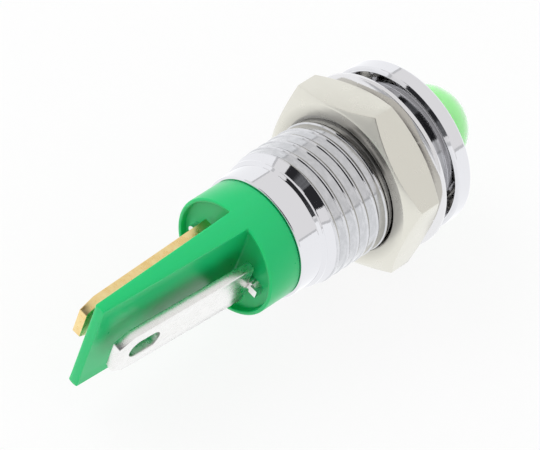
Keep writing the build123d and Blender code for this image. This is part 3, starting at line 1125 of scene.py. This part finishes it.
floor.data.materials.append(paper_material("floor_paper", (0.985, 1.0, 1.01, 1), MIRROR_WHITE))
floor.data.materials.append(paper_material("paper_edge", (0.98, 0.99, 1.0, 1), MIRROR_EDGE))
edge_band_z = floor_z + (wall_height + edge_height) / 2 * 0.999
for face in floor.data.polygons:
    if face.center.z > edge_band_z:
        face.material_index = 1
print("floor materials:", [slot.name for slot in floor.material_slots])

# %% [markdown]
# ## World
#
# The world is the tent above the paper.  The camera and the mirrors see plain white, and
# the lamp is lit from all sides by a little less, so that pale metal doesn't burn out.

# %% Tent
FILL_LIGHT = 0.83


def sky(tree, strength):
    """White sky of this strength."""
    node = tree.nodes.new("ShaderNodeBackground")
    node.inputs["Color"].default_value = (1, 1, 1, 1)
    node.inputs["Strength"].default_value = strength
    return node.outputs[0]


world = bpy.data.worlds.new("tent")
bpy.context.scene.world = world
world.use_nodes = True
tree = world.node_tree
tree.nodes.clear()
light_path = tree.nodes.new("ShaderNodeLightPath")
seen = seen_by_rays(tree, light_path, "Is Camera Ray", "Is Glossy Ray", "Is Transmission Ray")
out = tree.nodes.new("ShaderNodeOutputWorld")
tree.links.new(blended(tree, seen, sky(tree, FILL_LIGHT), sky(tree, 1.0)), out.inputs["Surface"])
print("fill light:", FILL_LIGHT)

# %% [markdown]
# ## Key light
#
# One large soft lamp above the brass tab's side gives the shapes a lit side.  It is
# hidden from mirrors, where it would show as a hard bright square.

# %% Key softbox
LAMP_CENTRE = Vector((0, 9 * MM, 0))


def towards(azimuth, elevation):
    """Direction from degrees of azimuth, from +Y towards +X, and degrees of elevation."""
    azimuth, elevation = math.radians(azimuth), math.radians(elevation)
    level = math.cos(elevation)
    return Vector((level * math.sin(azimuth), level * math.cos(azimuth), math.sin(elevation)))


def softbox(name, direction, distance_mm, size_mm, power):
    """Square area lamp that faces the object."""
    data = bpy.data.lights.new(name, "AREA")
    data.size = size_mm * MM
    data.energy = power
    lamp = bpy.data.objects.new(name, data)
    bpy.context.scene.collection.objects.link(lamp)
    lamp.location = LAMP_CENTRE + direction * distance_mm * MM
    lamp.rotation_mode = "QUATERNION"
    lamp.rotation_quaternion = direction.to_track_quat("Z", "Y")
    return lamp


key = softbox("key_softbox", towards(65, 42), distance_mm=320, size_mm=220, power=0.3)
key.visible_glossy = False
print("key at", [round(v / MM) for v in key.location])

# %% [markdown]
# ## The dark gap in the tent
#
# A tent has to be open somewhere for the viewer.  The room behind that opening is dark,
# and it draws the dark lines in the neck, on the flange's round edge and in the thread.
# Three oval cards stand for what is there: the opening, with a paler patch where the room
# is lit, the viewer beside it, and the cloth in shade below.  Only mirrors see the cards,
# so they take no light away.

# %% Cards that only mirrors see
BLACK = (0.03, 0.03, 0.033)
CHARCOAL = (0.22, 0.225, 0.235)
SHADE = (0.55, 0.56, 0.58)
LIT_PATCH_MM = 12


def card_cloth(name, wide, high, dark, light):
    """Cloth in one colour, with an uneven patch of painted light in the other on its upper +X part."""
    cloth, tree, _ = new_material(name)
    place = object_coordinates(tree)
    inner = rising(tree, part_of(tree, place, "X"), -0.5 * wide, -0.45 * wide)
    upper = rising(tree, part_of(tree, place, "Y"), -0.25 * high, 0.0)
    patch = times(tree, times(tree, inner, upper), noise(tree, place, LIT_PATCH_MM, detail=4))
    light_out = tree.nodes.new("ShaderNodeEmission")
    tree.links.new(two_colours(tree, patch, dark, light, low=0.1, high=0.7), light_out.inputs["Color"])
    tree.links.new(light_out.outputs[0], tree.nodes["Material Output"].inputs["Surface"])
    return cloth


def mirror_card(name, direction, distance_mm, half_width, half_height, tilt, dark, light):
    """Oval card; its half sizes and its tilt are angles in degrees."""
    start_clean()
    bpy.ops.mesh.primitive_circle_add(vertices=64, radius=1, fill_type="NGON")
    wide, high = (distance_mm * MM * math.tan(math.radians(a)) for a in (half_width, half_height))
    bpy.ops.transform.resize(value=(wide, high, 1))
    card = name_new(name)
    card.rotation_mode = "QUATERNION"
    turn_in_plane = Quaternion((0, 0, 1), math.radians(tilt))
    card.rotation_quaternion = direction.to_track_quat("Z", "Y") @ turn_in_plane
    card.location = LAMP_CENTRE + direction * distance_mm * MM
    wear(card, card_cloth(name, wide, high, dark, light))
    card.visible_camera = False
    card.visible_diffuse = False
    card.visible_shadow = False
    print(name, "spans", 2 * half_width, "by", 2 * half_height, "degrees")


mirror_card(
    "dark_opening", towards(9, 44), distance_mm=240,
    half_width=38, half_height=16, tilt=-18, dark=BLACK, light=CHARCOAL,
)
mirror_card(
    "viewer", towards(-24, 50), distance_mm=230,
    half_width=30, half_height=15, tilt=0, dark=BLACK, light=BLACK,
)
mirror_card(
    "opening_shade", towards(6, 2), distance_mm=260,
    half_width=44, half_height=14, tilt=0, dark=SHADE, light=SHADE,
)

# %% [markdown]
# ## Camera
#
# A long lens from above and behind looks down on the web's narrow face and the tabs.
# With such a lens the near end and the far end keep nearly the same scale, which suits a
# small part.  Two angles, a distance and a target give its place, because they are
# easier to judge than three coordinates.

# %% The camera and its place
VIEW_ELEVATION = 51.07
VIEW_AZIMUTH = -28.25
VIEW_ROLL = math.radians(22.62)
VIEW_DISTANCE = 214.7
VIEW_TARGET = Vector((0.33, 8.92, -0.53))
SENSOR_MM = 36
FOCAL_MM = 266.7
to_camera = towards(VIEW_AZIMUTH, VIEW_ELEVATION)

camera_data = bpy.data.cameras.new("camera")
camera_data.sensor_width = SENSOR_MM
camera_data.lens = FOCAL_MM
camera_data.clip_end = 10
camera = bpy.data.objects.new("camera", camera_data)
bpy.context.scene.collection.objects.link(camera)
camera.location = (VIEW_TARGET + to_camera * VIEW_DISTANCE) * MM
camera.rotation_mode = "QUATERNION"
level = (-to_camera).to_track_quat("-Z", "Y")
camera.rotation_quaternion = level @ Quaternion((0, 0, 1), VIEW_ROLL)
bpy.context.scene.camera = camera
bpy.context.scene.view_settings.view_transform = "Standard"
print("camera at", [round(v / MM) for v in camera.location])
